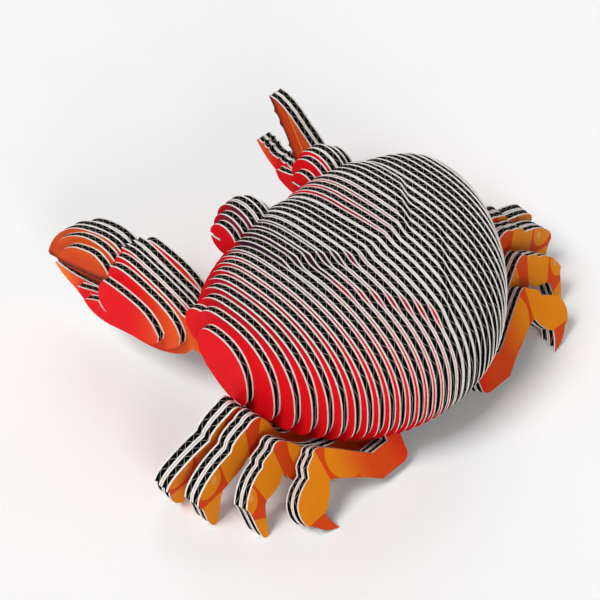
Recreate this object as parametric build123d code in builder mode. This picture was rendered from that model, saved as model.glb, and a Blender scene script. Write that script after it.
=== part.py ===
# Crab figurine laminated from flat cardboard sheets: body, two claws and eight legs.
# Frame in millimetres: +Z is up, the floor is Z = 0, the crab faces -Y and its left side is +X.
# The origin lies on the floor under the crown of the shell.
import os
from math import acos, cos, degrees, radians, sin, sqrt

from build123d import *

os.makedirs("parts", exist_ok=True)

# Board and fits
board = 2.0  # thickness of every sheet
glue_line = 0.1  # between the two sheets of a leg
fit = 0.15  # clearance all round a tab in its slot
claw_gap = 0.5  # between the back of a claw sheet and the body sheet behind it

# Shell: a plan of two half ellipses, with each upright sheet cut to a rounded section of it
body_sheets = 36
shell_edge = 0.2  # how far the plan ellipse passes the outermost sheet
shell_rear = 36.7  # from the crown to the back
shell_front = 19.0  # from the crown to the face
brim_height = 22.5  # of the side points of the shell over the floor
crown_rise = 19.0  # from the brim to the crown
keel_drop = 16.0  # from the brim to the underside
waist_drop = 5.0  # how far the rearmost line sinks from the brim to the middle
nose_lift = 5.0  # of the foremost line over the rearmost one
crown_power = 3.5  # roundness of the crown line across the shell
keel_power = 2.5  # roundness of the keel line across the shell
rear_power = 2.35  # roundness of each section at the upper back
face_power = 2.5  # roundness of each section at the upper front
stern_power = 2.5  # roundness of each section at the lower back
belly_power = 1.5  # roundness of each section along the sloping underside
stern_share = 0.7  # where the underside starts, as part of the reach to the back
curve_points = 10  # short cuts that follow each upper quarter of a section
corner_points = 7  # short cuts that follow each lower quarter
area_points = 4  # short cuts that follow the top edge of a raised area
round_sides = 36  # short cuts that follow a full circle
circle_power = 2  # roundness of a true quarter circle
cuts_per_span = 2  # short cuts that follow a curve between two points of an outline

# Raised areas of the shell, as steps in the top edges of the middle sheets
brow_rise = 2.4  # the front area at its highest
brow_dip = 2.0  # how much lower it is along the middle line, up to the crown
brow_fade = 0.3  # share of that dip which is left at the area's rear end
brow_peak = 10.0  # distance of its highest point from the middle line
brow_half_width = 19.0
brow_end = 12.0  # where it ends behind the crown, near the middle line
brow_straight = 6.5  # half width of the part that ends there; at its sides the area ends at the crown
hump_rise = 1.2  # the area behind it
hump_half_width = 15.0
hump_end = 30.8  # where it ends behind the crown, on the middle line
hump_slope = 1.1  # how fast that end moves forward to the sides
step_run = 2.4  # length of the slope at each end

# Eyes: rounded lobes on six sheets of each half, each with a slit cut in from the front
eye_first = 10
eye_radii = (3.8, 4.8, 5.8, 5.9, 5.2, 3.4)  # from the side inwards
eye_set_back = 3.5  # of the eye's centre from the face
eye_drop = 4.4  # of the eye's centre under the crown
eye_sag = 0.28  # how far a smaller lobe hangs under that centre, as part of the radius it lacks
slit_drop = 1.0  # of the slit under the eye's centre
slit_width = 0.8
slit_stop = 0.9  # from the eye's centre to the end of the slit

# Shoulders: lobes on the second sheet of each side, which lap the tab of a claw
shoulder_sheet = 2
claw_sheet = 3
shoulder_radius = 5.0
shoulder_set_back = 2.3
shoulder_lift = 3.0

# Legs: four on each side, each of two sheets, rooted in slots through two body sheets
leg_layers = 2
slot_sheets = (11, 12)
slot_depth = 5.5  # of a tab over the keel of the body
root_bottom = 2.6  # of a leg's root over the floor, along the sheet
root_top = 9.0
root_length = 8.6
root_round = 2.0  # rounding of its inner end
toe_lift = 0.5  # height at which the sides of a foot run into its tip
leg_stations = (7.0, 16.1, 26.1, 34.9)  # where each foot meets the floor behind the crown
leg_tilts = (-9.0, 3.0, 17.0, 30.0)  # forward lean of each pair of sheets

# Outer part of each leg, from arm to arm: (out from the root's inner edge, up from the floor)
# A stroke of one point is a straight edge and a longer one is a smooth curve
leg_outlines = (
    (
        [(16.0, 9.6), (21.5, 12.5), (24.5, 17.5), (27.1, 21.0)],
        [(28.5, 21.6), (30.2, 20.8)],
        [(32.6, 19.6), (34.6, 17.4)],
        [(34.8, 16.2)],
        [(37.6, 15.4), (42.4, 13.2), (45.4, 10.6), (46.0, 8.8)],
        [(45.2, 7.8)],
        [(44.8, 5.6), (43.4, 2.6), (41.4, toe_lift)],
        [(40.8, 0.0)],
        [(40.3, toe_lift)],
        [(40.3, 3.0), (39.4, 7.4)],
        [(38.6, 8.0)],
        [(36.0, 8.8), (33.2, 9.8), (31.2, 11.8)],
        [(30.2, 11.8)],
        [(27.0, 8.2), (20.5, 4.8), (12.4, 3.6)],
    ),
    (
        [(16.0, 9.8), (20.4, 11.8), (23.0, 16.1), (25.9, 20.4)],
        [(27.6, 20.9), (29.5, 20.0)],
        [(31.9, 19.2), (33.6, 18.0)],
        [(34.2, 16.6)],
        [(38.3, 15.2), (42.4, 12.3), (43.8, 10.4), (44.2, 8.6)],
        [(43.4, 7.5)],
        [(42.8, 5.6), (42.1, 2.8), (41.0, toe_lift)],
        [(40.2, 0.0)],
        [(39.4, toe_lift)],
        [(38.9, 2.8), (37.9, 7.0)],
        [(37.4, 7.9)],
        [(35.6, 8.7), (32.4, 10.0), (30.2, 11.7)],
        [(29.1, 11.7)],
        [(26.2, 8.4), (20.0, 5.0), (12.4, 3.6)],
    ),
    (
        [(16.0, 10.3), (20.0, 12.8), (22.4, 15.4), (25.6, 18.4)],
        [(26.8, 18.7), (28.3, 17.6)],
        [(29.9, 17.0), (31.2, 16.5)],
        [(31.6, 15.5)],
        [(34.5, 14.1), (37.2, 11.0), (38.1, 9.2)],
        [(37.6, 8.2)],
        [(37.2, 5.8), (36.8, 3.3), (36.0, toe_lift)],
        [(35.1, 0.0)],
        [(34.6, toe_lift)],
        [(34.3, 3.2), (33.5, 7.2)],
        [(32.7, 8.1)],
        [(29.7, 8.9), (28.3, 9.8), (27.4, 10.9)],
        [(26.8, 10.4)],
        [(24.9, 7.6), (19.6, 5.0), (12.4, 3.6)],
    ),
    (
        [(10.7, 10.5), (15.6, 14.4), (20.0, 17.6)],
        [(21.4, 17.8), (22.2, 16.9)],
        [(23.4, 16.2), (24.5, 15.3)],
        [(25.1, 13.4)],
        [(27.6, 12.3), (30.2, 9.6), (30.6, 7.4), (29.7, 4.6)],
        [(28.5, 3.9)],
        [(26.4, 1.7), (24.3, toe_lift)],
        [(22.9, 0.0)],
        [(23.2, toe_lift)],
        [(24.4, 2.9), (24.9, 4.7)],
        [(24.2, 5.2)],
        [(22.5, 6.9), (21.5, 8.6), (21.0, 9.9)],
        [(19.6, 9.8)],
        [(16.2, 7.8), (12.4, 5.4)],
    ),
)

# Claws, in sizes ahead of and over the centre of the shoulder
tab_radius = 3.9  # of the rounded tab that ends under the centre of the shoulder
tab_sink = 7.0  # of the tab's centre under the shoulder's
nape_run = 1.4  # upper corner of a palm's back, ahead of its rearmost point
heel_run = 1.6  # lower corner

# Strokes between the fingers of the left claw, each the same on two of its sheets
thumb_slit = ([(33.2, -12.4), (31.0, -11.3)], [(30.2, -12.5)], [(28.2, -13.1)])
open_mouth = ([(40.6, -14.7)], [(37.4, -13.4), (32.9, -11.6)], [(30.6, -10.4)], [(30.5, -6.6)])
shut_mouth = ([(44.0, -14.5), (38.6, -13.6), (34.4, -12.6)], [(33.0, -12.0)])

# Left claw, closed, outermost sheet first
# Each row: top edge of the palm, rearmost point or None beside the body, heights of the back's upper
# corner, rearmost point and lower corner, sole out to the fixed finger's tip, strokes of the fingers
left_claw_sheets = (
    (
        [(24.7, -3.6), (19.9, -4.0), (15.2, -5.4)],
        11.8,
        (-7.2, -9.8, -12.2),
        [(17.8, -13.9), (24.4, -15.4), (31.0, -16.5), (34.6, -15.6), (36.0, -14.4)],
        [
            [(35.4, -13.6)],
            *thumb_slit,
            [(29.6, -12.2), (30.6, -10.2), (30.2, -6.2), (28.8, -3.7)],
        ],
    ),
    (
        [(26.0, 0.3), (22.0, 0.3), (17.0, -0.7), (12.4, -2.1)],
        7.2,
        (-4.8, -8.1, -11.5),
        [(12.7, -14.3), (17.0, -15.8), (26.0, -17.8), (34.0, -18.2), (39.0, -17.0), (41.1, -15.5)],
        [
            *open_mouth,
            [(33.0, -7.5), (38.6, -9.2), (43.7, -10.3), (46.2, -10.8)],
            [(47.0, -9.9)],
            [(44.0, -5.7), (40.8, -3.1), (36.7, -1.5), (33.6, -1.0), (31.4, -1.9), (29.4, -4.0)],
            [(28.5, -0.7)],
        ],
    ),
    (
        [(26.2, 1.5), (21.4, 1.1), (16.7, 0.1), (12.1, -1.3), (8.6, -2.9)],
        None,
        (-5.0, -8.4, -12.4),
        [(11.2, -16.4), (14.4, -18.1), (21.8, -20.3), (31.0, -20.7), (37.0, -20.2), (44.6, -18.5)]
        + [(48.4, -16.7), (50.4, -14.9)],
        [
            [(49.9, -14.5)],
            *shut_mouth,
            [(36.3, -12.3), (41.0, -12.8), (46.4, -13.2), (49.4, -13.4)],
            [(50.6, -12.6)],
            [(50.4, -10.4), (48.0, -6.7), (44.0, -3.2), (39.6, -0.7), (35.3, 0.3), (32.0, 0.1), (29.3, -1.4)],
            [(28.5, 0.8)],
        ],
    ),
    (
        [(25.9, 2.1), (21.2, 1.2), (16.5, 0.2), (11.9, -1.2)],
        None,
        (-2.9, -7.5, -12.8),
        [(12.0, -16.6), (18.0, -19.8), (26.0, -21.2), (36.0, -20.8), (44.0, -19.4), (51.4, -16.9)],
        [
            [(50.8, -16.6)],
            [(46.0, -16.0), (40.6, -15.0), (35.6, -13.4)],
            [(33.2, -12.4)],
            [(37.0, -13.0), (43.0, -14.4), (49.0, -15.7), (52.7, -16.3)],
            [(54.7, -16.7)],
            [(55.2, -16.1)],
            [(53.6, -12.3), (50.0, -7.1), (45.2, -2.9), (39.7, -0.3), (33.8, 1.1), (31.1, 0.9), (29.3, -0.1)],
            [(29.0, 1.7)],
        ],
    ),
    (
        [(25.8, 0.9), (21.1, -0.3), (16.4, -1.4), (12.2, -2.6)],
        None,
        (-3.9, -8.0, -12.8),
        [(13.0, -16.4), (19.0, -19.2), (27.0, -20.4), (36.0, -19.9), (43.0, -18.3), (49.4, -14.9)],
        [
            [(48.9, -14.5)],
            *shut_mouth,
            [(36.3, -12.3), (41.0, -12.8), (46.4, -13.2), (49.8, -13.4)],
            [(51.4, -12.6)],
            [(50.8, -9.8), (48.2, -5.4), (43.6, -2.2), (38.7, -0.3), (34.4, 0.3), (31.6, 0.1), (29.6, -0.6)],
            [(29.2, 1.3)],
        ],
    ),
    (
        [(27.6, 1.1), (23.2, 0.3), (18.5, -1.1), (13.8, -2.5)],
        None,
        (-4.0, -8.0, -12.4),
        [(13.6, -15.2), (19.0, -17.2), (27.0, -18.4), (34.0, -18.2), (39.0, -17.0), (41.1, -15.5)],
        [
            *open_mouth,
            [(33.0, -7.5), (38.6, -9.2), (43.7, -10.3), (46.4, -10.6)],
            [(47.4, -9.6)],
            [(46.4, -5.6), (42.7, -2.0), (38.4, -0.3), (34.4, 0.4), (31.6, 0.0), (29.8, -1.2)],
            [(29.6, 0.8)],
        ],
    ),
    (
        [(26.7, 1.1), (22.9, 1.0), (18.1, 0.3), (13.5, -1.4)],
        None,
        (-3.2, -7.4, -11.8),
        [(15.0, -14.4), (22.0, -16.2), (30.0, -16.8), (34.6, -15.8), (36.2, -14.4)],
        [
            [(35.5, -13.6)],
            *thumb_slit,
            [(29.6, -12.2), (30.6, -10.2), (30.4, -5.0), (28.8, -0.2)],
        ],
    ),
)

# Right claw, held open: the two sheets in the middle carry both fingers, the others are plain plates
right_plate = (
    [(25.4, -6.6), (21.6, -8.0), (17.0, -6.0), (12.9, -3.4)],
    None,
    (-3.2, -8.2, -12.8),
    [(14.0, -15.8), (22.0, -17.4), (30.0, -17.5), (34.0, -16.4), (36.0, -15.0), (36.4, -13.8)],
    [
        [(35.7, -13.2)],
        [(32.8, -12.7), (30.9, -12.1)],
        [(30.0, -12.8)],
        [(28.4, -13.3)],
        [(29.4, -12.4), (30.0, -10.4), (29.2, -8.0)],
    ],
)
pincer_back = [(39.6, 5.3), (37.5, 4.9), (34.6, 3.6), (30.6, 0.5), (27.2, -2.1), (24.6, -4.8)]
pincer_crest = [(21.6, -7.6), (17.0, -6.2), (12.9, -3.9)]
pincer_rear = (-4.2, -8.6, -13.0)
pincer_sole = [(14.0, -15.8), (22.0, -17.0), (31.0, -17.4), (36.0, -16.8), (40.2, -14.7), (44.6, -10.4)]
pincer_thumb = [(44.0, -9.8), (39.4, -12.0), (32.3, -12.6)]  # toothed edge of the fixed finger
pincer_mouth = (31.0, -11.4)
pincer_edge = [(31.3, -10.1), (34.6, -3.7), (39.8, 4.4)]  # toothed edge of the raised finger
pincer_tip = (40.4, 5.2)
teeth_per_run = 2
tooth_height = 0.6
tooth_half_share = 0.1  # half width of a tooth as part of its straight run

half_width = body_sheets * board / 2 + shell_edge
keel_height = brim_height - keel_drop


def draw(strokes):
    """Draw a closed outline; each stroke goes on from the end of the one before it."""
    outline = []
    end = strokes[-1][-1]
    for stroke in strokes:
        if len(stroke) == 1:
            outline += stroke
        else:
            curve = Spline(end, *stroke, mode=Mode.PRIVATE)
            cuts = cuts_per_span * len(stroke)
            outline += [curve @ (cut / cuts) for cut in range(1, cuts + 1)]
        end = stroke[-1]
    Polyline(*outline, close=True)


def sheet_middle(rank):
    """Distance from the middle line to the sheet that lies this many sheets in from the side."""
    return board * (body_sheets / 2 - rank + 0.5)


def plan_share(rank):
    """Reach of a sheet's section as part of the reach on the middle line."""
    return sqrt(1 - (sheet_middle(rank) / half_width) ** 2)


def waist(rank):
    return brim_height - waist_drop * plan_share(rank)


def dome(rank, power):
    """Share of the full height that a line across the shell has at this sheet."""
    return (1 - (sheet_middle(rank) / half_width) ** power) ** (1 / power)


def crown(rank):
    return brim_height + crown_rise * dome(rank, crown_power)


def keel(rank):
    return brim_height - keel_drop * dome(rank, keel_power)


def face_line(rank):
    """Foremost point of a sheet's section without its eye or shoulder."""
    return (-shell_front * plan_share(rank), waist(rank) + nose_lift)


def round_run(centre, reach, power, angles):
    """Points of a rounded quarter, which starts at angle 0 level with its centre and ends at 90."""
    run = []
    for angle in angles:
        level = abs(cos(radians(angle))) ** (2 / power)
        upright = abs(sin(radians(angle))) ** (2 / power)
        run.append((centre[0] + reach[0] * level, centre[1] + reach[1] * upright))
    return run


def spaced(start, end, count):
    """Evenly spaced values after the start, up to and with the end."""
    return [start + (end - start) * step / count for step in range(1, count + 1)]


def brow(rank, way=0):
    """Height of the front area up to the crown, or this part of the way on to its rear end."""
    x = sheet_middle(rank)
    if x >= brow_half_width:
        return 0
    if x > brow_peak:
        return brow_rise * (1 - ((x - brow_peak) / (brow_half_width - brow_peak)) ** 2)
    dip = brow_dip * (1 - way * (1 - brow_fade))
    return brow_rise - dip * (1 - x / brow_peak) ** 2


def hump(rank):
    x = sheet_middle(rank)
    if x >= hump_half_width:
        return 0
    return hump_rise * sqrt(1 - (x / hump_half_width) ** 2)


def raised(run, rise):
    return [(y, z + rise) for y, z in run]


def section(rank):
    """Points of a body sheet's outline: over the top from the face, down the back, along the belly."""
    x = sheet_middle(rank)
    rear = shell_rear * plan_share(rank)
    nose = face_line(rank)
    hips = waist(rank)
    top = crown(rank)
    stern = rear * stern_share

    def back(angles):
        return round_run((0, hips), (rear, top - hips), rear_power, angles)

    def back_angle(y):
        return degrees(acos((y / rear) ** (rear_power / 2)))

    outline = []
    for angle in spaced(0, 90, curve_points):
        point = round_run((0, nose[1]), (nose[0], top - nose[1]), face_power, [angle])[0]
        outline.append((point[0], point[1] + brow(rank) * sin(radians(angle))))

    angle = 90
    if brow(rank) > 0:
        brow_taper = max(0, x - brow_straight) / (brow_half_width - brow_straight)
        brow_stop = brow_end * (1 - brow_taper)
        for step, point in enumerate(back(spaced(angle, back_angle(brow_stop), area_points)), 1):
            outline += raised([point], brow(rank, step / area_points))
        angle = back_angle(brow_stop + step_run)
        outline += raised(back([angle]), hump(rank))
    if hump(rank) > 0:
        hump_stop = hump_end - hump_slope * x
        outline += raised(back(spaced(angle, back_angle(hump_stop), area_points)), hump(rank))
        angle = back_angle(hump_stop + step_run)
        outline += back([angle])
    outline += back(spaced(angle, 0, curve_points))

    stern_reach = (rear - stern, keel(rank) - hips)
    outline += round_run((stern, hips), stern_reach, stern_power, spaced(0, 90, corner_points))
    belly_reach = (nose[0] - stern, keel(rank) - nose[1])
    outline += round_run((stern, nose[1]), belly_reach, belly_power, spaced(90, 0, corner_points))
    return outline


eye_ranks = range(eye_first, eye_first + len(eye_radii))
eye_centre = (-(shell_front - eye_set_back), brim_height + crown_rise - eye_drop)
shoulder = (
    face_line(shoulder_sheet)[0] + shoulder_set_back,
    face_line(shoulder_sheet)[1] + shoulder_lift,
)
root_inner = sheet_middle(max(slot_sheets)) - board / 2
tab_width = len(slot_sheets) * board
leg_pitch = board + glue_line
leg_thickness = leg_layers * leg_pitch - glue_line


def tab_top(tilt):
    """Top of a leg's tab over the floor, measured along its leaning sheet."""
    return (keel_height + slot_depth) / cos(radians(tilt))


def leg_top_chain(leg):
    """Points of a leg's upper edge from its tab out to its knee."""
    chain = [(0, tab_top(leg_tilts[leg])), (tab_width, tab_top(leg_tilts[leg]))]
    chain += [(tab_width, root_top), (root_length, root_top)]
    return chain + leg_outlines[leg][0] + leg_outlines[leg][1]


def leg_top(leg, near, far):
    """Highest point of a leg's upper edge between two distances out from its root, or None."""
    heights = []
    chain = leg_top_chain(leg)
    for (x0, t0), (x1, t1) in zip(chain, chain[1:]):
        low = max(x0, near)
        high = min(x1, far)
        if high > low:
            heights += [t0 + (t1 - t0) * (x - x0) / (x1 - x0) for x in (low, high)]
    return max(heights, default=None)


def cut_leg_slots(rank):
    """Cut the slots of the tabs, and room for the arms where they rise past the underside."""
    near = sheet_middle(rank) - board / 2 - root_inner
    for leg, (station, tilt) in enumerate(zip(leg_stations, leg_tilts)):
        top = leg_top(leg, near, near + board)
        if top is None:
            continue
        lean = radians(tilt)
        height = top + fit
        middle = height / 2
        y = station - middle * sin(lean) - leg_thickness / 2 * cos(lean)
        z = middle * cos(lean) - leg_thickness / 2 * sin(lean)
        with Locations((y, z)):
            Rectangle(leg_thickness + 2 * fit, height, rotation=tilt, mode=Mode.SUBTRACT)


# Body: sheets numbered from the crab's left side to its right
for number in range(1, body_sheets + 1):
    rank = min(number, body_sheets + 1 - number)
    outer_face = board * (body_sheets / 2 - number)
    with BuildPart() as sheet:
        with BuildSketch(Plane.YZ.offset(outer_face)):
            with BuildLine():
                Polyline(*section(rank), close=True)
            make_face()
            if rank in eye_ranks:
                radius = eye_radii[rank - eye_first]
                with Locations((eye_centre[0], eye_centre[1] - eye_sag * (max(eye_radii) - radius))):
                    RegularPolygon(radius, round_sides)
                with Locations((eye_centre[0] - slit_stop, eye_centre[1] - slit_drop)):
                    Rectangle(
                        2 * max(eye_radii),
                        slit_width,
                        align=(Align.MAX, Align.CENTER),
                        mode=Mode.SUBTRACT,
                    )
            if rank == shoulder_sheet:
                with Locations(shoulder):
                    RegularPolygon(shoulder_radius, round_sides)
            if rank == claw_sheet:
                with Locations((shoulder[0] - tab_radius, shoulder[1] - tab_sink)):
                    RegularPolygon(tab_radius + fit, round_sides, mode=Mode.SUBTRACT)
                    Rectangle(
                        shell_front,
                        2 * (tab_radius + fit),
                        align=(Align.MAX, Align.CENTER),
                        mode=Mode.SUBTRACT,
                    )
            cut_leg_slots(rank)
        extrude(amount=board)
    sheet.part.label = f"body_sheet_{number:02d}"
    export_step(sheet.part, f"parts/{sheet.part.label}.step")


def claw_plane(side, rank):
    """Outer face of a claw sheet; its x runs ahead of the shoulder and its y up."""
    x = side * (sheet_middle(rank) + board / 2)
    return Plane(origin=(x, *shoulder), x_dir=(0, -1, 0), z_dir=(-1, 0, 0))


def claw_strokes(rank, crest, rear, back, sole, fingers):
    """Outline of a claw sheet: over the palm to its back, along the sole and round the fingers."""
    if rear is None:
        rear = shoulder[0] - face_line(rank)[0] + claw_gap
    nape, middle, heel = back
    behind = [(rear + nape_run, nape), (rear, middle), (rear + heel_run, heel)]
    return [crest + behind + sole, *fingers]


def toothed(edge):
    """Single-point strokes along an edge; its teeth stand to the right of its direction."""
    strokes = [[edge[0]]]
    for start, end in zip(edge, edge[1:]):
        run = (end[0] - start[0], end[1] - start[1])
        length = sqrt(run[0] ** 2 + run[1] ** 2)
        side = (run[1] / length * tooth_height, -run[0] / length * tooth_height)
        for tooth in spaced(0, 1, teeth_per_run + 1)[:-1]:
            for share, rise in ((tooth - tooth_half_share, 0), (tooth, 1), (tooth + tooth_half_share, 0)):
                ahead = start[0] + run[0] * share + side[0] * rise
                up = start[1] + run[1] * share + side[1] * rise
                strokes.append([(ahead, up)])
        strokes.append([end])
    return strokes


def claw_tab():
    """The tab that laps the shoulder, drawn from its rounded end into the palm."""
    with Locations((tab_radius, -tab_sink)):
        RegularPolygon(tab_radius, round_sides)
        Rectangle(2 * tab_radius, 2 * tab_radius, align=(Align.MIN, Align.CENTER))


# Left claw: closed, seven sheets from the side inwards
for number, row in enumerate(left_claw_sheets, 1):
    with BuildPart() as sheet:
        with BuildSketch(claw_plane(1, number)):
            with BuildLine():
                draw(claw_strokes(number, *row))
            make_face()
            if number == claw_sheet:
                claw_tab()
        extrude(amount=board)
    sheet.part.label = f"left_claw_sheet_{number}"
    export_step(sheet.part, f"parts/{sheet.part.label}.step")

# Right claw: open, four sheets from the lapped one inwards
pincer_fingers = toothed(pincer_thumb) + [[pincer_mouth]] + toothed(pincer_edge) + [[pincer_tip]]
pincer = (pincer_back + pincer_crest, None, pincer_rear, pincer_sole, pincer_fingers)
for number, row in enumerate((right_plate, pincer, pincer, right_plate), 1):
    rank = claw_sheet + number - 1
    with BuildPart() as sheet:
        with BuildSketch(claw_plane(-1, rank).offset(-board)):
            with BuildLine():
                draw(claw_strokes(rank, *row))
            make_face()
            if rank == claw_sheet:
                claw_tab()
        extrude(amount=board)
    sheet.part.label = f"right_claw_sheet_{number}"
    export_step(sheet.part, f"parts/{sheet.part.label}.step")


def leg_strokes(leg):
    """Outline of a leg sheet from the top of its tab, out along the arm and back along its root."""
    top = tab_top(leg_tilts[leg])
    inner = fit + root_round
    nape = (inner, top - root_round)
    heel = (inner, root_bottom + root_round)
    turn = spaced(0, 90, corner_points)
    upper = round_run(nape, (-root_round, root_round), circle_power, turn)
    lower = round_run(heel, (-root_round, -root_round), circle_power, turn)
    return [
        [(tab_width - fit, top)],
        [(tab_width - fit, root_top)],
        [(root_length, root_top)],
        *leg_outlines[leg],
        [(root_length, root_bottom)],
        *[[point] for point in reversed(lower)],
        *[[point] for point in upper],
    ]


# Legs: numbered from front to back, each a pair of like sheets leaning together, toes cut level
for side, side_name in ((1, "left"), (-1, "right")):
    for leg, (station, tilt) in enumerate(zip(leg_stations, leg_tilts)):
        lean = radians(tilt)
        rear_face = Plane(
            origin=(side * root_inner, station, 0),
            x_dir=(side, 0, 0),
            z_dir=(0, -side * cos(lean), -side * sin(lean)),
        )
        with BuildPart() as pair:
            for layer in range(leg_layers):
                with BuildSketch(rear_face.offset(side * layer * leg_pitch)):
                    with BuildLine():
                        draw(leg_strokes(leg))
                    make_face()
                extrude(amount=side * board)
            split(bisect_by=Plane.XY, keep=Keep.TOP)
        pair.part.label = f"{side_name}_leg_{leg + 1}"
        export_step(pair.part, f"parts/{pair.part.label}.step")
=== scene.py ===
from math import atan2, ceil, cos, hypot, pi, radians, sin, tau

import bmesh
import bpy
import numpy as np
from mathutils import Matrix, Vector


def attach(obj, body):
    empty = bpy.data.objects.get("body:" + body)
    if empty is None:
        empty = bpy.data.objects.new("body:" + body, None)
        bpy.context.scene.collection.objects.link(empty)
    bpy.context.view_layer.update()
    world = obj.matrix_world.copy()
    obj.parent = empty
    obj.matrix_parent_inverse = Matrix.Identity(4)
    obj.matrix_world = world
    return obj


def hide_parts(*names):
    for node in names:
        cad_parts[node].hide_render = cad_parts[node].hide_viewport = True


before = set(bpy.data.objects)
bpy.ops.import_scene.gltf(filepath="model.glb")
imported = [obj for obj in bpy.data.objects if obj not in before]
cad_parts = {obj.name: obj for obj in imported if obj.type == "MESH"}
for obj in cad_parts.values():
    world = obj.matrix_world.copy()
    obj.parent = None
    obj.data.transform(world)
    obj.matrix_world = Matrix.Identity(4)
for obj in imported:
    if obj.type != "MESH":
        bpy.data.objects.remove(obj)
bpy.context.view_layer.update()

# Crab figurine of corrugated board: each sheet of the frame becomes two printed liners on a fluted core.
# Metres, in the frame's axes; the prints are laid out in millimetres.
BODY = "root"
MM = 0.001

# Board
LINER = 0.40 * MM
PAPER = 0.17 * MM  # thickness of the fluted paper and of the wall behind its ends
FLUTE_PITCH = 2.2 * MM
FLUTE_STEPS = 8  # straight steps that follow one flute
SEAM = 0.01 * MM  # how far a liner lies under the face of its solid
RECESS = 0.05 * MM  # how far the flutes end inside the cut edge
WALL_INSET = 0.28 * MM

# Outlines
WELD = 0.001 * MM
FLAT_FACE = 0.99  # least share of a sheet's normal in the normals of its flat faces
SMOOTH_TURN = radians(32)  # a sharper turn is a corner
SMOOTH_STEP = 0.7 * MM

# Inks and papers
RED = (0.73, 0.005, 0.010)
# Painted shade: the red darkens to this towards the crown, where the narrow gaps between sheets fall into
# shade
CRIMSON_SHADE = (0.42, 0.007, 0.018)
PLUM = (0.035, 0.008, 0.022)
ORANGE = (0.74, 0.10, 0.012)
AMBER = (0.84, 0.24, 0.03)
BURNT = (0.58, 0.055, 0.007)
# Painted shade in brown along the moving finger's mouth
BROWN = (0.10, 0.018, 0.006)
GOLD = (0.76, 0.235, 0.008)
RUST = (0.66, 0.062, 0.009)
PEACH = (0.78, 0.33, 0.10)
CREAM = (0.82, 0.80, 0.77)
GREY = (0.68, 0.65, 0.61)
# Painted shade: these near blacks on the paper inside the board stand for the shade deep in the flutes
INSIDE_DEEP_SHADE = (0.0015, 0.0015, 0.0015)
INSIDE_SHADE = (0.004, 0.004, 0.004)
KRAFT = (0.28, 0.25, 0.19)
DUST = (0.14, 0.12, 0.09)
PALE = (0.98, 0.98, 0.98)
WHITE = (0.995, 0.995, 0.995)
PRINT_GLOSS = 0.03
BARE_GLOSS = 0.1
INNER_GLOSS = 0.02
FINE = 4.0  # detail of the finest noise

# Printed liner, with sizes in millimetres
CLOUD_SIZE = 5.0
CLOUD_AMOUNT = 0.07
FIBRE_SIZE = 0.25
FLUTE_SHOW = 0.3  # the flutes' share in the relief, next to the fibres
PRINT_RELIEF = 0.02
PRINT_ROUGH_SIZE = 1.5
PRINT_ROUGH_LEAST = 0.36
PRINT_ROUGH_SWING = 0.16
EDGE = 0.1  # half the width of the edge between two inks

# Bare paper, with sizes in millimetres
CUT_GRAIN = 0.8
INNER_GRAIN = 0.6
FLUTE_GRAIN = 0.7
FLOOR_GRAIN = 40.0
SHADES = (0.25, 0.6)  # the reach of the noise over which the dark shade turns light
BARE_FIBRE_SIZE = 0.2
BARE_RELIEF = 0.03
BARE_ROUGH_SIZE = 0.6
BARE_ROUGH_LEAST = 0.7
BARE_ROUGH_SWING = 0.2

# Shell: the reaches over which a colour sets in
MIDDLE_X = (2.0, 6.0)
# The crown's reaches set in painted shade on the red
CROWN_SHADE_Y = (-12.0, -6.0)
CROWN_SHADE_Z = (31.0, 39.0)
BROW_X = (22.5, 18.5)
BROW_FRONT_Y = (-13.0, -9.5)
BROW_BACK_Y = (15.0, 10.0)
BROW_Z = (33.0, 37.0)
EYE_X = (18.6, 15.4)
EYE_FRONT_Y = (-22.5, -16.0)
EYE_BACK_Y = (-8.0, -10.0)
EYE_BLOOM = 0.85

# Claws, measured ahead of and over the shoulder. A mouth and a knuckle are the lines that bound the moving
# finger; a tip is the reach over which the fixed finger turns amber.
SHOULDER_Y = -5.51
SHOULDER_Z = 28.44
PALM = (4.0, 22.0)
KNUCKLE = ((29.5, -12.0), (29.5, 0.0))
TIP = (38.0, 53.0)
WIDE_MOUTH = ((31.0, -7.0), (46.2, -10.9))
SHUT_MOUTH = ((31.0, -11.9), (50.0, -13.6))
LONG_MOUTH = ((31.0, -12.0), (52.7, -16.5))
RAISED_KNUCKLE = ((31.0, -11.4), (24.6, -4.8))
RAISED_MOUTH = ((31.0, -11.0), (39.8, 4.4))
RAISED_TIP = (36.5, 51.0)
# Painted highlight: a pale amber streak on the raised finger, at this height over its mouth
RAISED_HIGHLIGHT_STREAK = 4.3
HIGHLIGHT_STREAK_WIDTH = 0.35
# Painted shade and light on the moving finger: brown along its mouth, lighter orange towards its back
LIP_SHADE = (0.2, 2.2)
FINGER_BACK_LIGHT = (3.2, 7.5)
FINGER_BACK_SHARE = 0.6
FRECKLE_SPACING = 7.0
FRECKLE_RADIUS = 0.45
FRECKLE_CORE = 0.6  # share of the radius at which a freckle has its full colour
FRECKLE_SHARE = 0.7

# Legs, measured out from the inner end of the root and up along the leaning sheet
ROOT_X = 12.0
ROOT_BLUSH = (-4.0, 6.0)
THIGH_FADE = 0.5  # how far before the oval's centre the end of the thigh sets in
THIGH_RIM = (0.97, 1.03)  # edges of ovals, where 1 is the oval itself
SHIN_RIM = (0.95, 1.05)
HIGHLIGHT_RIM = (1.0, 0.5)
HIGHLIGHT_SHARE = 0.7
LEG_STATIONS = (7.0, 16.1, 26.1, 34.9)
LEG_TILTS = (-9.0, 3.0, 17.0, 30.0)

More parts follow.
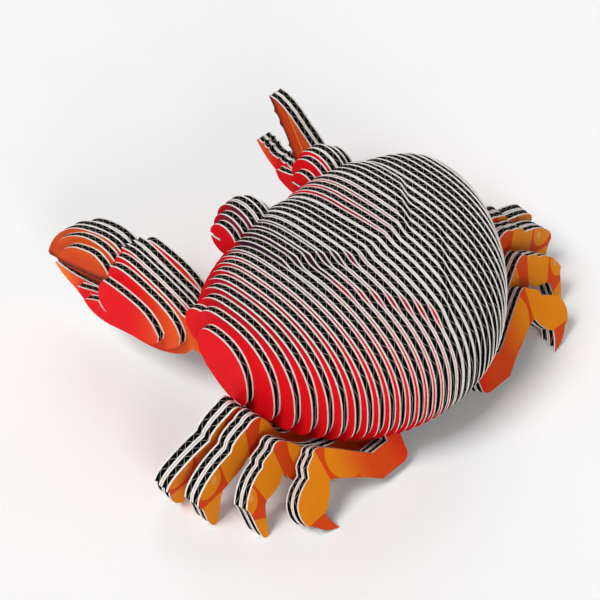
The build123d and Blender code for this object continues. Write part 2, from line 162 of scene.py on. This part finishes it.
# Each leg's print: knee line from the top down, end of the thigh as an oval, reach over which the red root
# turns gold, ankle line from the top down, oval of the shin, oval of its highlight, and the line over the
# foot from the outer side inwards
LEG_PRINTS = (
    {
        "knee": ((30.9, 18.4), (30.4, 11.6)),
        "thigh": ((17.0, 15.0), (10.6, 10.6)),
        "blush": (20.0, 25.5),
        "ankle": ((38.8, 15.2), (37.2, 8.6)),
        "shin": ((42.8, 12.6), (3.6, 4.6)),
        "highlight": ((41.2, 12.8), (0.7, 1.4)),
        "foot": ((44.7, 6.4), (40.1, 6.8)),
    },
    {
        "knee": ((29.9, 17.8), (29.2, 11.4)),
        "thigh": ((16.0, 15.0), (10.6, 10.6)),
        "blush": (19.0, 24.5),
        "ankle": ((37.3, 14.8), (36.0, 9.1)),
        "shin": ((41.0, 13.0), (3.4, 4.2)),
        "highlight": ((39.4, 12.6), (0.7, 1.4)),
        "foot": ((43.0, 7.2), (37.9, 8.1)),
    },
    {
        "knee": ((28.1, 17.7), (27.1, 11.2)),
        "thigh": ((14.0, 15.0), (10.4, 10.4)),
        "blush": (17.0, 22.5),
        "ankle": ((34.9, 13.7), (32.9, 8.0)),
        "shin": ((37.6, 11.0), (2.8, 3.6)),
        "highlight": ((36.4, 11.2), (0.6, 1.3)),
        "foot": ((36.9, 5.8), (34.4, 4.6)),
    },
    {
        "knee": ((21.3, 17.2), (20.6, 10.3)),
        "thigh": ((13.6, 13.4), (6.3, 6.3)),
        "blush": (9.0, 19.5),
        "foot": ((28.4, 4.7), (24.4, 4.9)),
    },
)

# Floor
FLOOR_SIZE = 6.0

# Light, as shares of the level at which a colour renders as it is written
SKY_SHARE = 0.16
KEY_SHARE = 0.70
KEY_WAY = (0.57, -0.10, 0.816)
KEY_SIZE = 4.0
FILL_SHARE = 0.38
FILL_WAY = (0.48, 0.80, 0.36)
FILL_SIZE = 4.5
RIM_SHARE = 0.22
RIM_WAY = (-0.55, -0.55, 0.63)
RIM_SIZE = 6.0
LAMP_DISTANCE = 10.0

# Camera, fitted to the photograph
TARGET = Vector((0, -10.5, 10.05)) * MM
DISTANCE = 438.7 * MM
AZIMUTH = radians(134.194)
ELEVATION = radians(43.948)
LENS = 118.53
SENSOR = 36.0


def islands(mesh):
    """Lists of joined faces, one for each solid of a node."""
    left = dict.fromkeys(mesh.faces)
    while left:
        found = [next(iter(left))]
        del left[found[0]]
        for face in found:
            for edge in face.edges:
                for near in edge.link_faces:
                    if near in left:
                        del left[near]
                        found.append(near)
        yield found


def rim(faces):
    """Ordered points of the closed edge round a flat group of faces."""
    inside = set(faces)
    ahead = {}
    for face in faces:
        for loop in face.loops:
            if sum(near in inside for near in loop.edge.link_faces) == 1:
                ahead[loop.vert] = loop.link_loop_next.vert
    start = next(iter(ahead))
    points = [start.co.copy()]
    step = ahead[start]
    while step is not start:
        points.append(step.co.copy())
        step = ahead[step]
    return points


def read_sheets(node):
    """Each sheet of a node: its normal, towards the left or the back, and the rims of its flat faces."""
    mesh = bmesh.new()
    mesh.from_mesh(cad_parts[node].data)
    bmesh.ops.remove_doubles(mesh, verts=mesh.verts, dist=WELD)
    sheets = []
    for group in islands(mesh):
        normal = max(group, key=lambda face: face.calc_area()).normal.copy()
        if normal.x + normal.y < 0:
            normal.negate()
        near = rim([face for face in group if face.normal.dot(normal) > FLAT_FACE])
        far = rim([face for face in group if face.normal.dot(normal) < -FLAT_FACE])
        sheets.append((normal, near, far[::-1]))
    mesh.free()
    return sheets


def turn(before, here, after):
    """Angle by which an outline turns at a point."""
    one = here - before
    two = after - here
    return abs(atan2(one.cross(two), one.dot(two)))


def rounded(outline):
    """Follow an outline of short cuts with smooth curves, and keep its corners."""
    count = len(outline)
    tangents = []
    for i, here in enumerate(outline):
        before = outline[i - 1]
        after = outline[(i + 1) % count]
        corner = turn(before, here, after) > SMOOTH_TURN
        tangents.append(None if corner else (after - before).normalized())
    smooth = []
    for i, here in enumerate(outline):
        after = outline[(i + 1) % count]
        span = after - here
        leave = (tangents[i] or span.normalized()) * span.length
        arrive = (tangents[(i + 1) % count] or span.normalized()) * span.length
        cuts = max(1, ceil(span.length / SMOOTH_STEP))
        for cut in range(cuts):
            t = cut / cuts
            point = here * (2 * t**3 - 3 * t**2 + 1) + leave * (t**3 - 2 * t**2 + t)
            smooth.append(point + after * (3 * t**2 - 2 * t**3) + arrive * (t**3 - t**2))
    return smooth


def crossings(outline, u):
    """Heights at which an upright line at u crosses an outline, lowest first."""
    u0 = outline[:, 0]
    v0 = outline[:, 1]
    u1 = np.roll(u0, -1)
    v1 = np.roll(v0, -1)
    hit = (u0 <= u) != (u1 <= u)
    return np.sort(v0[hit] + (u - u0[hit]) * (v1[hit] - v0[hit]) / (u1[hit] - u0[hit]))


class SheetMesh:
    """Collects the liners, cores and walls of one node's sheets in one mesh."""

    # Faces inside the board and the walls take the paper painted near black as shade
    FACE, CUT, INSIDE, FLUTE = range(4)

    def __init__(self):
        self.verts = []
        self.faces = []
        self.slots = []

    def add(self, points):
        start = len(self.verts)
        self.verts += points
        return list(range(start, len(self.verts)))

    def face(self, corners, slot):
        self.faces.append(corners)
        self.slots.append(slot)

    def liner(self, outer, inner):
        """One liner, from its printed rim to its rim on the core."""
        near = self.add(outer)
        far = self.add(inner)
        self.face(near, self.FACE)
        self.face(far[::-1], self.INSIDE)
        for i in range(len(near)):
            j = (i + 1) % len(near)
            self.face([near[i], far[i], far[j], near[j]], self.CUT)

    def core(self, place, outline, low, high):
        """The fluted paper between two depths, with its flutes upright, cut to an outline."""
        middle = (low + high) / 2
        swing = (high - low - PAPER) / 2
        points = np.array([tuple(p) for p in outline])
        step = FLUTE_PITCH / FLUTE_STEPS
        first = ceil(points[:, 0].min() / step)
        last = int(points[:, 0].max() // step)
        runs = []
        open_runs = []
        for line in range(first, last + 1):
            u = line * step
            ends = crossings(points, u)
            spans = [(u, *span) for span in zip(ends[::2] + RECESS, ends[1::2] - RECESS)]
            spans = [span for span in spans if span[2] > span[1]]
            if len(spans) != len(open_runs):
                open_runs = [[] for _ in spans]
                runs += open_runs
            for run, span in zip(open_runs, spans):
                run.append(span)
        for run in runs:
            if len(run) > 1:
                self.strip([
                    self.add([
                        place(u, v, middle + swing * sin(tau * u / FLUTE_PITCH) + side * PAPER / 2)
                        for v in (low_end, high_end) for side in (-1, 1)
                    ])
                    for u, low_end, high_end in run
                ])

    def strip(self, rows):
        """Closed strip of paper through rows of four corners: low back and front, high back and front."""
        for a, b in zip(rows, rows[1:]):
            self.face([a[0], a[2], b[2], b[0]], self.INSIDE)
            self.face([a[1], b[1], b[3], a[3]], self.INSIDE)
            self.face([a[0], b[0], b[1], a[1]], self.FLUTE)
            self.face([a[2], a[3], b[3], b[2]], self.FLUTE)
        for row in (rows[0], rows[-1]):
            self.face([row[0], row[1], row[3], row[2]], self.FLUTE)

    def wall(self, place, outline, low, high):
        """A wall a little way in from the cut edge, behind the ends of the flutes, near black as painted
        shade.
        """
        count = len(outline)
        area = sum(outline[i - 1].cross(here) for i, here in enumerate(outline))
        inwards = 1 if area > 0 else -1
        ends = []
        for i, here in enumerate(outline):
            run = (outline[(i + 1) % count] - outline[i - 1]).normalized()
            aside = Vector((-run.y, run.x)) * inwards
            spots = (here + aside * WALL_INSET, here + aside * (WALL_INSET + PAPER))
            ends.append(self.add([place(spot.x, spot.y, depth) for spot in spots for depth in (low, high)]))
        for a, b in zip(ends, ends[1:] + ends[:1]):
            for one, two in ((0, 1), (1, 3), (3, 2), (2, 0)):
                self.face([a[one], b[one], b[two], a[two]], self.INSIDE)

    def finish(self, name, materials):
        """Object of all that was collected, with every face turned outwards."""
        mesh = bpy.data.meshes.new(name)
        mesh.from_pydata([tuple(v) for v in self.verts], [], self.faces)
        for material in materials:
            mesh.materials.append(material)
        mesh.polygons.foreach_set("material_index", self.slots)
        mesh.validate()
        solid = bmesh.new()
        solid.from_mesh(mesh)
        bmesh.ops.recalc_face_normals(solid, faces=solid.faces)
        solid.to_mesh(mesh)
        solid.free()
        piece = bpy.data.objects.new(name, mesh)
        bpy.context.scene.collection.objects.link(piece)
        return piece


def build_sheets(node, materials):
    """Stand a corrugated piece in for every sheet of a node."""
    made = SheetMesh()
    for normal, near, far in read_sheets(node):
        if abs(normal.x) > abs(normal.y):
            along = Vector((0, 1, 0))
        else:
            along = Vector((1, 0, 0))
        up = normal.cross(along)
        if up.z < 0:
            up = -up
        top = near[0].dot(normal) - SEAM
        bottom = far[0].dot(normal) + SEAM

        def flat(rim_points):
            return rounded([Vector((p.dot(along), p.dot(up))) for p in rim_points])

        def place(u, v, depth):
            point = along * u + up * v + normal * depth
            return point + up * (max(0, -point.z) / up.z)

        near_flat = flat(near)
        far_flat = flat(far)
        made.liner(
            [place(p.x, p.y, top) for p in near_flat],
            [place(p.x, p.y, top - LINER) for p in near_flat],
        )
        made.liner(
            [place(p.x, p.y, bottom) for p in far_flat[::-1]],
            [place(p.x, p.y, bottom + LINER) for p in far_flat[::-1]],
        )
        made.core(place, far_flat, bottom + LINER, top - LINER)
        made.wall(place, far_flat, bottom + LINER, top - LINER)
    piece = made.finish(f"{node}_board", materials)
    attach(piece, BODY)
    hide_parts(node)


class Field:
    """A number that varies over a surface and is joined to others with plain sums."""

    def __init__(self, tree, socket):
        self.tree = tree
        self.socket = socket

    def join(self, operation, first, second):
        node = self.tree.nodes.new("ShaderNodeMath")
        node.operation = operation
        for socket, value in zip(node.inputs, (first, second)):
            if isinstance(value, Field):
                self.tree.links.new(value.socket, socket)
            else:
                socket.default_value = value
        return Field(self.tree, node.outputs[0])

    def __add__(self, other):
        return self.join("ADD", self, other)

    def __sub__(self, other):
        return self.join("SUBTRACT", self, other)

    def __rsub__(self, other):
        return self.join("SUBTRACT", other, self)

    def __mul__(self, other):
        return self.join("MULTIPLY", self, other)

    def __abs__(self):
        return self.join("ABSOLUTE", self, 0)

    def wave(self, pitch):
        return self.join("SINE", self * (tau / pitch), 0)

    def either(self, other):
        return self.join("MAXIMUM", self, other)

    def rise(self, start, end):
        """Goes smoothly from 0 at the start to 1 at the end."""
        node = self.tree.nodes.new("ShaderNodeMapRange")
        node.interpolation_type = "SMOOTHSTEP"
        node.inputs["From Min"].default_value = start
        node.inputs["From Max"].default_value = end
        self.tree.links.new(self.socket, node.inputs["Value"])
        return Field(self.tree, node.outputs["Result"])


def past(line, across, up):
    """Distance to the left of a line, as seen from its first point towards its second."""
    (x0, y0), (x1, y1) = line
    length = hypot(x1 - x0, y1 - y0)
    return (up - y0) * ((x1 - x0) / length) - (across - x0) * ((y1 - y0) / length)


def oval(shape, across, up):
    """0 at the centre of an oval and 1 on its edge."""
    (x0, y0), (x_radius, y_radius) = shape
    x = (across - x0) * (1 / x_radius)
    y = (up - y0) * (1 / y_radius)
    return x * x + y * y


class Ink:
    """A paper whose colour, gloss and relief follow from the place on the crab, in millimetres."""

    def __init__(self, name, specular):
        self.material = bpy.data.materials.new(name)
        self.material.use_nodes = True
        self.tree = self.material.node_tree
        self.shader = self.tree.nodes["Principled BSDF"]
        self.shader.inputs["Specular IOR Level"].default_value = specular
        spot = self.tree.nodes.new("ShaderNodeTexCoord")
        scale = self.tree.nodes.new("ShaderNodeVectorMath")
        scale.operation = "SCALE"
        scale.inputs["Scale"].default_value = 1 / MM
        self.tree.links.new(spot.outputs["Object"], scale.inputs[0])
        self.place = scale.outputs[0]
        split = self.tree.nodes.new("ShaderNodeSeparateXYZ")
        self.tree.links.new(self.place, split.inputs[0])
        self.x, self.y, self.z = (Field(self.tree, socket) for socket in split.outputs)

    def noise(self, size, detail=2.0):
        """Cloudy field about 0.5, with grains of this size."""
        node = self.tree.nodes.new("ShaderNodeTexNoise")
        node.inputs["Scale"].default_value = 1 / size
        node.inputs["Detail"].default_value = detail
        self.tree.links.new(self.place, node.inputs["Vector"])
        return Field(self.tree, node.outputs["Fac"])

    def freckles(self, spacing, radius):
        """1 on round spots strewn through the paper and 0 between them."""
        node = self.tree.nodes.new("ShaderNodeTexVoronoi")
        node.inputs["Scale"].default_value = 1 / spacing
        self.tree.links.new(self.place, node.inputs["Vector"])
        reach = Field(self.tree, node.outputs["Distance"])
        return reach.rise(radius / spacing, FRECKLE_CORE * radius / spacing)

    def blend(self, first, second, share):
        """Colour that goes from the first to the second as the share goes from 0 to 1."""
        node = self.tree.nodes.new("ShaderNodeMix")
        node.data_type = "RGBA"
        self.tree.links.new(share.socket, node.inputs[0])
        for socket, colour in ((node.inputs[6], first), (node.inputs[7], second)):
            if isinstance(colour, tuple):
                socket.default_value = (*colour, 1)
            else:
                self.tree.links.new(colour, socket)
        return node.outputs[2]

    def mottled(self, colour, size, amount):
        """The colour, a little darker and lighter in clouds."""
        node = self.tree.nodes.new("ShaderNodeHueSaturation")
        self.tree.links.new(colour, node.inputs["Color"])
        self.tree.links.new((self.noise(size) * (2 * amount) + (1 - amount)).socket, node.inputs["Value"])
        return node.outputs["Color"]

    def finish(self, colour, roughness, relief, height):
        """Set the colour, the roughness field and a relief field of a height in millimetres."""
        bump = self.tree.nodes.new("ShaderNodeBump")
        bump.inputs["Distance"].default_value = height * MM
        self.tree.links.new(relief.socket, bump.inputs["Height"])
        self.tree.links.new(colour, self.shader.inputs["Base Color"])
        self.tree.links.new(roughness.socket, self.shader.inputs["Roughness"])
        self.tree.links.new(bump.outputs["Normal"], self.shader.inputs["Normal"])
        return self.material

    def finish_print(self, colour, along):
        """A printed liner: clouded ink, satin gloss, fine fibres and the flutes showing through."""
        fibres = self.noise(FIBRE_SIZE, FINE)
        flutes = along.wave(FLUTE_PITCH / MM)
        return self.finish(
            self.mottled(colour, CLOUD_SIZE, CLOUD_AMOUNT),
            self.noise(PRINT_ROUGH_SIZE) * PRINT_ROUGH_SWING + PRINT_ROUGH_LEAST,
            fibres + flutes * FLUTE_SHOW,
            PRINT_RELIEF,
        )


def shell_ink():
    """Red, darkened towards the crown by painted shade, with a dark bloom on the left brow and on the back
    of its eye.
    """
    ink = Ink("shell_print", PRINT_GLOSS)
    left = ink.x.rise(*MIDDLE_X)
    brow = left * ink.x.rise(*BROW_X) * ink.y.rise(*BROW_FRONT_Y) * ink.y.rise(*BROW_BACK_Y)
    eye = left * ink.x.rise(*EYE_X) * ink.y.rise(*EYE_FRONT_Y) * ink.y.rise(*EYE_BACK_Y)
    bloom = (brow * ink.z.rise(*BROW_Z)).either(eye * EYE_BLOOM)
    # Painted shade: the red turns crimson towards the crown
    colour = ink.blend(RED, CRIMSON_SHADE, ink.z.rise(*CROWN_SHADE_Z) * ink.y.rise(*CROWN_SHADE_Y))
    return ink.finish_print(ink.blend(colour, PLUM, bloom), ink.y)


def claw_ink(name, mouth=None, knuckle=KNUCKLE, tip=TIP, streak=None):
    """Orange at the back of the palm, red at its front, amber at the fixed finger's tip. The moving finger
    is burnt, with painted shade in brown along its mouth and painted light in orange towards its back, and
    a painted highlight streak at a height over its mouth if one is given."""
    ink = Ink(name, PRINT_GLOSS)
    ahead = SHOULDER_Y - ink.y
    up = ink.z - SHOULDER_Z
    colour = ink.blend(ORANGE, RED, ahead.rise(*PALM))
    colour = ink.blend(colour, AMBER, ahead.rise(*tip))
    if mouth:
        over = past(mouth, ahead, up)
        # Painted shade in brown along the mouth, painted light in orange towards the finger's back
        finger = ink.blend(BROWN, BURNT, over.rise(*LIP_SHADE))
        finger = ink.blend(finger, ORANGE, over.rise(*FINGER_BACK_LIGHT) * FINGER_BACK_SHARE)
        # Painted highlight: a pale amber streak along the finger
        if streak:
            under = over.rise(streak - HIGHLIGHT_STREAK_WIDTH, streak)
            finger = ink.blend(finger, AMBER, under * over.rise(streak + HIGHLIGHT_STREAK_WIDTH, streak))
        before = past(knuckle, ahead, up).rise(EDGE, -EDGE)
        colour = ink.blend(colour, finger, over.rise(-EDGE, EDGE) * before)
    colour = ink.blend(colour, AMBER, ink.freckles(FRECKLE_SPACING, FRECKLE_RADIUS) * FRECKLE_SHARE)
    return ink.finish_print(colour, ink.y)


def leg_ink(number):
    """Gold, with a red root and rust at the knee and ankle."""
    shape = LEG_PRINTS[number - 1]
    tilt = radians(LEG_TILTS[number - 1])
    ink = Ink(f"leg_print_{number}", PRINT_GLOSS)
    out = abs(ink.x) - ROOT_X
    up = ink.z * cos(tilt) - (ink.y - LEG_STATIONS[number - 1]) * sin(tilt)
    thigh_x = shape["thigh"][0][0]
    thigh_end = out.rise(thigh_x - THIGH_FADE, thigh_x)
    knee = past(shape["knee"], out, up).rise(EDGE, -EDGE)
    rust = oval(shape["thigh"], out, up).rise(*THIGH_RIM) * thigh_end * knee
    over_foot = past(shape["foot"], out, up).rise(EDGE, -EDGE)
    if "ankle" in shape:
        ankle = past(shape["ankle"], out, up).rise(-EDGE, EDGE)
        rust = rust.either(ankle * oval(shape["shin"], out, up).rise(*SHIN_RIM) * over_foot)
    else:
        rust = rust.either((1 - over_foot) * (1 - knee))
    colour = ink.blend(ink.blend(RED, RUST, out.rise(*ROOT_BLUSH)), GOLD, out.rise(*shape["blush"]))
    colour = ink.blend(colour, RUST, rust)
    if "highlight" in shape:
        shine = oval(shape["highlight"], out, up).rise(*HIGHLIGHT_RIM) * HIGHLIGHT_SHARE
        colour = ink.blend(colour, PEACH, shine)
    return ink.finish_print(colour, ink.x)


def bare_ink(name, light, dark, grain, specular=BARE_GLOSS):
    """Unprinted paper of two shades."""
    ink = Ink(name, specular)
    colour = ink.blend(dark, light, ink.noise(grain, FINE).rise(*SHADES))
    roughness = ink.noise(BARE_ROUGH_SIZE) * BARE_ROUGH_SWING + BARE_ROUGH_LEAST
    return ink.finish(colour, roughness, ink.noise(BARE_FIBRE_SIZE, FINE), BARE_RELIEF)


bare = [
    bare_ink("cut_paper", CREAM, GREY, CUT_GRAIN),
    # Painted shade: the paper inside the board and the walls is near black for the shade deep in the flutes
    bare_ink("inside_painted_shade", INSIDE_SHADE, INSIDE_DEEP_SHADE, INNER_GRAIN, INNER_GLOSS),
    bare_ink("flute_paper", KRAFT, DUST, FLUTE_GRAIN),
]
plate = claw_ink("claw_plate_print")
wide_jaw = claw_ink("claw_wide_print", WIDE_MOUTH)
shut_jaw = claw_ink("claw_shut_print", SHUT_MOUTH)
long_jaw = claw_ink("claw_long_print", LONG_MOUTH)
raised_jaw = claw_ink("claw_raised_print", RAISED_MOUTH, RAISED_KNUCKLE, RAISED_TIP, RAISED_HIGHLIGHT_STREAK)
claw_prints = {
    "left": (plate, wide_jaw, shut_jaw, long_jaw, shut_jaw, wide_jaw, plate),
    "right": (plate, raised_jaw, raised_jaw, plate),
}
shell_print = shell_ink()
leg_prints = [leg_ink(number) for number in range(1, len(LEG_PRINTS) + 1)]

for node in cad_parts:
    side = node.split("_")[0]
    number = int(node.split("_")[-1])
    if side == "body":
        build_sheets(node, [shell_print, *bare])
    elif "claw" in node:
        build_sheets(node, [claw_prints[side][number - 1], *bare])
    else:
        build_sheets(node, [leg_prints[number - 1], *bare])

# Floor, light and camera
bpy.ops.mesh.primitive_plane_add(size=FLOOR_SIZE)
floor = bpy.context.object
floor.name = "floor"
floor.data.materials.append(bare_ink("floor_paint", WHITE, PALE, FLOOR_GRAIN))


def lamp(name, way, size, share):
    """A soft lamp that lights a surface facing it to this share of the plain level."""
    data = bpy.data.lights.new(name, "AREA")
    data.size = size
    data.energy = share * pi**2 * LAMP_DISTANCE**2
    light = bpy.data.objects.new(name, data)
    light.location = Vector(way) * LAMP_DISTANCE
    light.rotation_euler = Vector(way).to_track_quat("Z", "Y").to_euler()
    bpy.context.scene.collection.objects.link(light)


lamp("key", KEY_WAY, KEY_SIZE, KEY_SHARE)
lamp("fill", FILL_WAY, FILL_SIZE, FILL_SHARE)
lamp("rim", RIM_WAY, RIM_SIZE, RIM_SHARE)

world = bpy.context.scene.world or bpy.data.worlds.new("studio")
bpy.context.scene.world = world
world.use_nodes = True
sky = world.node_tree.nodes["Background"]
sky.inputs["Color"].default_value = (1, 1, 1, 1)
rays = world.node_tree.nodes.new("ShaderNodeLightPath").outputs
straight, glossy, clear = (
    Field(world.node_tree, rays[f"Is {kind} Ray"]) for kind in ("Camera", "Glossy", "Transmission")
)
strength = straight.either(glossy).either(clear) * (1 - SKY_SHARE) + SKY_SHARE
world.node_tree.links.new(strength.socket, sky.inputs["Strength"])

camera_data = bpy.data.cameras.new("camera")
camera_data.lens = LENS
camera_data.sensor_width = SENSOR
camera = bpy.data.objects.new("camera", camera_data)
away = Vector((sin(AZIMUTH) * cos(ELEVATION), -cos(AZIMUTH) * cos(ELEVATION), sin(ELEVATION)))
camera.location = TARGET + away * DISTANCE
camera.rotation_euler = away.to_track_quat("Z", "Y").to_euler()
bpy.context.scene.collection.objects.link(camera)
bpy.context.scene.camera = camera

bpy.context.scene.view_settings.view_transform = "Standard"
